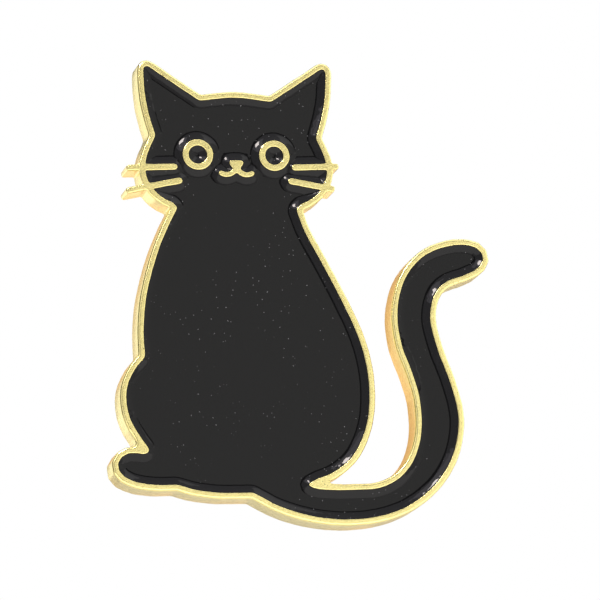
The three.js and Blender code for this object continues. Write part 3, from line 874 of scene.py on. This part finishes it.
def cap_piece(fastener, settings, material):
    """The clutch's cap: a drawn brass cup with a flange, a hole for the post and two windows."""
    low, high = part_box(f"{fastener.name}_clutch_cap")
    half = settings.sheet / 2
    flange = (high.x - low.x) / 2
    foot, top = low.y - fastener.front + half, high.y - fastener.front - half
    side = CAP_RADIUS - half
    bend = CAP_CORNER - half
    profile = [
        (flange, foot),
        (side + bend, foot),
        *arc((side + FLANGE_BEND * half, foot + FLANGE_BEND * half), FLANGE_BEND * half, -90, -180, 4),
        (side, WINDOW_Y[0]),
        *[(side, y) for y in np.linspace(*WINDOW_Y, 6)[1:-1]],
        (side, WINDOW_Y[1]),
        *arc((side - bend, top - bend), bend, 0, 90, 8)[1:],
        (side / 2, top),
        (CAP_HOLE + half, top),
        (CAP_HOLE, top),
    ]
    half_window = math.asin((NECK_WIDTH / 2 + WINDOW_GAP) / CAP_RADIUS)
    open_side = np.linspace(-half_window, half_window, 17)
    closed_side = np.linspace(half_window, math.pi - half_window, 41)[1:-1]
    angles = np.concatenate([open_side, closed_side, open_side + math.pi, closed_side + math.pi])
    points = [fastener.placed(r * math.cos(a), y, r * math.sin(a)) for a in angles for r, y in profile]
    rows, faces = len(profile), []
    heights = [y for _, y in profile]
    for i, angle in enumerate(angles):
        after = angles[(i + 1) % len(angles)]
        across = max(abs(math.sin(angle)), abs(math.sin(after)))
        by_wing = across < math.sin(half_window) + 1e-6
        for k in range(rows - 1):
            in_window = WINDOW_Y[0] <= heights[k] and heights[k + 1] <= WINDOW_Y[1]
            if not (by_wing and in_window and profile[k][0] == side):
                a, b = i * rows + k, (i + 1) % len(angles) * rows + k
                faces.append((a, a + 1, b + 1, b))
    piece = mesh_piece(f"{fastener.name}_clutch_cap_drawn", points, faces, [material])
    return pressed(piece, settings.sheet, settings.edge_radius)


WING_ROWS, WING_COLUMNS = 72, 15
FLARE_LENGTH = 0.8 * MM  # over which a wing widens outside the cap
WING_CORNER = 0.7 * MM
JAW_LENGTH = 1 * MM  # over which the bore's notch in the jaw runs out


def wing_piece(fastener, wing, side, settings, material):
    """A clutch's wing: a brass strip that runs from its jaw at the post, widens outside the cap and
    curls into a finger loop."""
    line = np.array(spline(WING_LINE, 0.03 * MM, closed=False))
    along = np.concatenate([[0], np.cumsum(np.linalg.norm(np.diff(line, axis=0), axis=1))])
    rows = np.linspace(0, along[-1], WING_ROWS)
    line = np.column_stack([np.interp(rows, along, line[:, k]) for k in (0, 1)])
    flare_start = CAP_RADIUS + RUNNING_GAP
    flare_end = flare_start + FLARE_LENGTH
    shares = np.sin(np.linspace(-math.pi / 2, math.pi / 2, WING_COLUMNS))
    points = []
    for (x, y), gone in zip(line, rows):
        half = np.interp(x, [flare_start, flare_end], [NECK_WIDTH / 2, LOOP_WIDTH / 2])
        left = along[-1] - gone
        if left < WING_CORNER:
            half -= WING_CORNER - math.sqrt(max(WING_CORNER**2 - (WING_CORNER - left) ** 2, 0))
        for share in shares:
            z = share * half
            notch = math.sqrt(max(JAW_BORE**2 - z**2, 0))
            shift = max(notch - WING_LINE[0][0], 0) * max(1 - gone / JAW_LENGTH, 0)
            points.append(fastener.placed(x + shift, y, z, side))
    count = len(shares)
    faces = [
        (i * count + k, i * count + k + 1, (i + 1) * count + k + 1, (i + 1) * count + k)
        for i in range(len(line) - 1)
        for k in range(count - 1)
    ]
    piece = mesh_piece(f"{fastener.name}_clutch_{wing}_bent", points, faces, [material])
    return pressed(piece, settings.sheet, settings.edge_radius)


# ---- Stage ----

PIN_MIDDLE = Vector((3.85, -2, -0.55)) * MM  # what the camera looks at
CAMERA_DISTANCE = 320 * MM
CAMERA_AZIMUTH = math.radians(-13)
CAMERA_ELEVATION = math.radians(-12)
CAMERA_ROLL = math.radians(2.2)
CAMERA_LENS = 303.36
ROOM_LIGHT = 0.15  # of the room that the metal mirrors
FLOOR_Z = -110 * MM
FLOOR_HALF = 6.0  # half the sheet's side
FLOOR_LIFT = 0.6  # light added to the sheet as the camera sees it


def direction(azimuth, elevation):
    """The unit vector from the pin towards that azimuth (0 in front, + to the right) and height."""
    return Vector((
        math.sin(azimuth) * math.cos(elevation),
        -math.cos(azimuth) * math.cos(elevation),
        math.sin(elevation),
    ))


def make_camera():
    """A long lens that looks slightly up at the pin from its left, a little tilted."""
    camera = bpy.data.objects.new("camera", bpy.data.cameras.new("camera"))
    SCENE.collection.objects.link(camera)
    camera.data.sensor_width = 36
    camera.data.lens = CAMERA_LENS
    camera.data.clip_start, camera.data.clip_end = 0.01, 20
    back = direction(CAMERA_AZIMUTH, CAMERA_ELEVATION)
    level = Vector((math.cos(CAMERA_AZIMUTH), math.sin(CAMERA_AZIMUTH), 0))
    upright = back.cross(level)
    right = level * math.cos(CAMERA_ROLL) - upright * math.sin(CAMERA_ROLL)
    up = level * math.sin(CAMERA_ROLL) + upright * math.cos(CAMERA_ROLL)
    turn = Matrix((right, up, back)).transposed().to_4x4()
    camera.matrix_world = Matrix.Translation(PIN_MIDDLE + back * CAMERA_DISTANCE) @ turn
    SCENE.camera = camera


# Each softbox: azimuth, elevation, distance, width, height, radiance, colour.
SOFTBOXES = {
    "front_right": (44, 2, 0.9, 1.5, 0.58, 1.03, "#fffefa"),
    "right_upper": (66, 38, 0.9, 0.9, 0.6, 0.92, "#fffefa"),
    "front_left": (-42, 4, 0.9, 0.95, 0.8, 0.68, "#fbf9ff"),
    "above": (0, 56, 0.9, 1.6, 0.72, 0.86, "#fbf9ff"),
    "below": (0, -36, 0.12, 0.3, 0.084, 0.95, "#fffdfa"),
    "right_strip": (98, 0, 0.9, 0.35, 1.3, 2.4, "#ffffff"),
    "overhead_strip": (0, 92, 0.9, 1.3, 0.36, 2.4, "#ffffff"),
    "key": (-26, 44, 0.07, 0.012, 0.012, 34, "#fff4ee"),
    "key_glow": (-34, 40, 0.85, 0.5, 0.42, 1.4, "#fbf4ff"),
    "back_left": (-147.4, 12, 0.074, 0.052, 0.066, 1.06, "#fffbea"),
    "warm_bounce": (177, 5, 0.062, 0.035, 0.044, 0.68, "#ffbe74"),
    "back_below": (167, -14, 0.9, 0.8, 0.7, 0.5, "#ffe9cc"),
    "back_right": (150, 30, 1.1, 0.8, 0.7, 1.0, "#ffffff"),
}


def make_lights():
    """Soft cards round the pin. The near ones light only some of its walls, as close things do."""
    for name, (azimuth, elevation, distance, width, height, brightness, tint) in SOFTBOXES.items():
        light = bpy.data.lights.new(name, "AREA")
        light.shape, light.size, light.size_y = "RECTANGLE", width, height
        light.color = linear(tint)
        light.energy = brightness * math.pi * width * height
        lamp = bpy.data.objects.new(name, light)
        SCENE.collection.objects.link(lamp)
        towards = direction(math.radians(azimuth), math.radians(elevation))
        lamp.location = PIN_MIDDLE + towards * distance
        lamp.rotation_mode = "QUATERNION"
        lamp.rotation_quaternion = towards.to_track_quat("Z", "Y")
        lamp.visible_camera = False


def make_world():
    """White behind the pin, and a grey room in its reflections."""
    world = bpy.data.worlds.new("studio")
    SCENE.world = world
    world.use_nodes = True
    tree = world.node_tree
    tree.nodes.clear()
    seen = add(tree, "ShaderNodeBackground", {"Color": (1, 1, 1, 1), "Strength": 1.0})
    room = add(tree, "ShaderNodeBackground", {"Color": opaque(linear("#f4f2f0")), "Strength": ROOM_LIGHT})
    by_camera = add(tree, "ShaderNodeLightPath").outputs["Is Camera Ray"]
    lights = {"Fac": by_camera, 1: room.outputs["Background"], 2: seen.outputs["Background"]}
    mix = add(tree, "ShaderNodeMixShader", lights)
    add(tree, "ShaderNodeOutputWorld", {"Surface": mix.outputs["Shader"]})


def make_floor():
    """A wide pale sheet, which stays pale to the camera where the lights no longer reach it."""
    pale = opaque(linear("#f6f4f1"))
    material, tree, _ = blank_material("pale_floor")
    seen = add(tree, "ShaderNodeLightPath").outputs["Is Camera Ray"]
    lift = add(tree, "ShaderNodeMapRange", {"Value": seen, "To Max": FLOOR_LIFT}).outputs["Result"]
    surfaced(tree, pale, 0.7, {"Emission Color": pale, "Emission Strength": lift})
    side = FLOOR_HALF
    corners = [(x, y, FLOOR_Z) for x, y in ((-side, -side), (side, -side), (side, side), (-side, side))]
    floor = mesh_piece("floor", corners, [(0, 1, 2, 3)], [material], smooth=False)


# ---- Operators ----


class PIN_OT_stage(bpy.types.Operator):
    """Make the camera, the soft lights and the pale floor"""

    bl_idname = "enamel_pin.stage"
    bl_label = "Stage"

    def execute(self, context):
        SCENE.view_settings.view_transform = "Standard"
        make_camera()
        make_lights()
        make_world()
        make_floor()
        return {"FINISHED"}


class PIN_OT_casting(bpy.types.Operator):
    """Make the gold-plated casting with its raised lines"""

    bl_idname = "enamel_pin.casting"
    bl_label = "Casting"

    def execute(self, context):
        settings = context.scene.enamel_pin.casting
        gold, grain = settings.gold, settings.grain
        front = plated_casting("gold_plated_casting", gold, grain, roughness=0.2, grain_depth=0.0024 * MM)
        gold, grain = settings.back_gold, 1.6 * grain  # blasting leaves a coarser grain
        back = "gold_plated_blasted_back"
        back = plated_casting(back, gold, grain, roughness=0.34, grain_depth=0.012 * MM)
        placed(gold_casting(settings, [front, back]), "pin", "gold_plate", "base_plate")
        return {"FINISHED"}


class PIN_OT_enamel(bpy.types.Operator):
    """Pour the black enamel between the raised lines"""

    bl_idname = "enamel_pin.enamel"
    bl_label = "Enamel"

    def execute(self, context):
        settings = context.scene.enamel_pin.enamel
        tree, identifiers = meniscus_tree()
        material = baked_enamel(settings.black, settings.speck)
        outlines = casting_outlines(context.scene.enamel_pin.casting.waver)
        pools = {"body_enamel": [o for o, depth in outlines if depth in (1, 2)]}
        pupils = sorted((o for o, depth in outlines if depth == 3), key=lambda o: o[:, 0].mean())
        pools.update({"left_pupil_enamel": pupils[:1], "right_pupil_enamel": pupils[1:]})
        for node, walls in pools.items():
            pool = enamel_pool(f"{node}_poured", walls, node, settings, tree, identifiers, material)
            placed(pool, "pin", "black_enamel", node)
        bpy.data.node_groups.remove(tree)
        return {"FINISHED"}


class PIN_OT_posts(bpy.types.Operator):
    """Make the two posts"""

    bl_idname = "enamel_pin.posts"
    bl_label = "Posts"

    def execute(self, context):
        casting = context.scene.enamel_pin.casting
        material = pressed_brass("gold_plated_drawn_post", casting.back_gold, roughness=0.16)
        for fastener in FASTENERS:
            placed(post_piece(fastener, material), "pin", "post_plate", f"{fastener.name}_post")
        return {"FINISHED"}


class PIN_OT_solder(bpy.types.Operator):
    """Make the solder round the posts' feet"""

    bl_idname = "enamel_pin.solder"
    bl_label = "Solder"

    def execute(self, context):
        material = solder_skin(context.scene.enamel_pin.clutch.solder)
        for fastener in FASTENERS:
            placed(solder_piece(fastener, material), "pin", "solder", f"{fastener.name}_solder")
        return {"FINISHED"}


class PIN_OT_clutches(bpy.types.Operator):
    """Make the two butterfly clutches: discs, caps, wings and springs"""

    bl_idname = "enamel_pin.clutches"
    bl_label = "Clutches"

    def execute(self, context):
        settings = context.scene.enamel_pin.clutch
        brass = pressed_brass("polished_pressed_brass", settings.brass, roughness=0.13)
        steel = spring_strip(settings.steel)
        for fastener in FASTENERS:
            name = fastener.name
            placed(disc_piece(fastener, brass), f"{name}_disc", "clutch_brass", f"{name}_clutch_disc")
            cap = cap_piece(fastener, settings, brass)
            placed(cap, f"{name}_cap", "clutch_brass", f"{name}_clutch_cap")
            for wing, side in fastener.wings.items():
                piece = wing_piece(fastener, wing, side, settings, brass)
                placed(piece, f"{name}_{wing}", "clutch_brass", f"{name}_clutch_{wing}")
            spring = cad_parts[f"{name}_clutch_spring"]
            spring.data.materials.clear()
            spring.data.materials.append(steel)
        return {"FINISHED"}


class PIN_PT_panel(bpy.types.Panel):
    """The pin's sizes, colours and the buttons that make its pieces"""

    bl_idname = "PIN_PT_panel"
    bl_label = "Enamel Pin"
    bl_space_type = "VIEW_3D"
    bl_region_type = "UI"
    bl_category = "Enamel Pin"

    def draw(self, context):
        for group in ("casting", "enamel", "clutch"):
            box = self.layout.box()
            settings = getattr(context.scene.enamel_pin, group)
            for name in settings.__annotations__:
                box.prop(settings, name)
        for operator in OPERATORS:
            self.layout.operator(operator.bl_idname)


OPERATORS = (PIN_OT_stage, PIN_OT_casting, PIN_OT_enamel, PIN_OT_posts, PIN_OT_solder, PIN_OT_clutches)
CLASSES = (CastingSettings, EnamelSettings, ClutchSettings, PinSettings, *OPERATORS, PIN_PT_panel)


def register():
    for kind in CLASSES:
        bpy.utils.register_class(kind)
    bpy.types.Scene.enamel_pin = bpy.props.PointerProperty(type=PinSettings)


def unregister():
    del bpy.types.Scene.enamel_pin
    for kind in reversed(CLASSES):
        bpy.utils.unregister_class(kind)


def main():
    register()
    bpy.ops.enamel_pin.stage()
    bpy.ops.enamel_pin.casting()
    bpy.ops.enamel_pin.enamel()
    bpy.ops.enamel_pin.posts()
    bpy.ops.enamel_pin.solder()
    bpy.ops.enamel_pin.clutches()


if __name__ == "__main__":
    main()
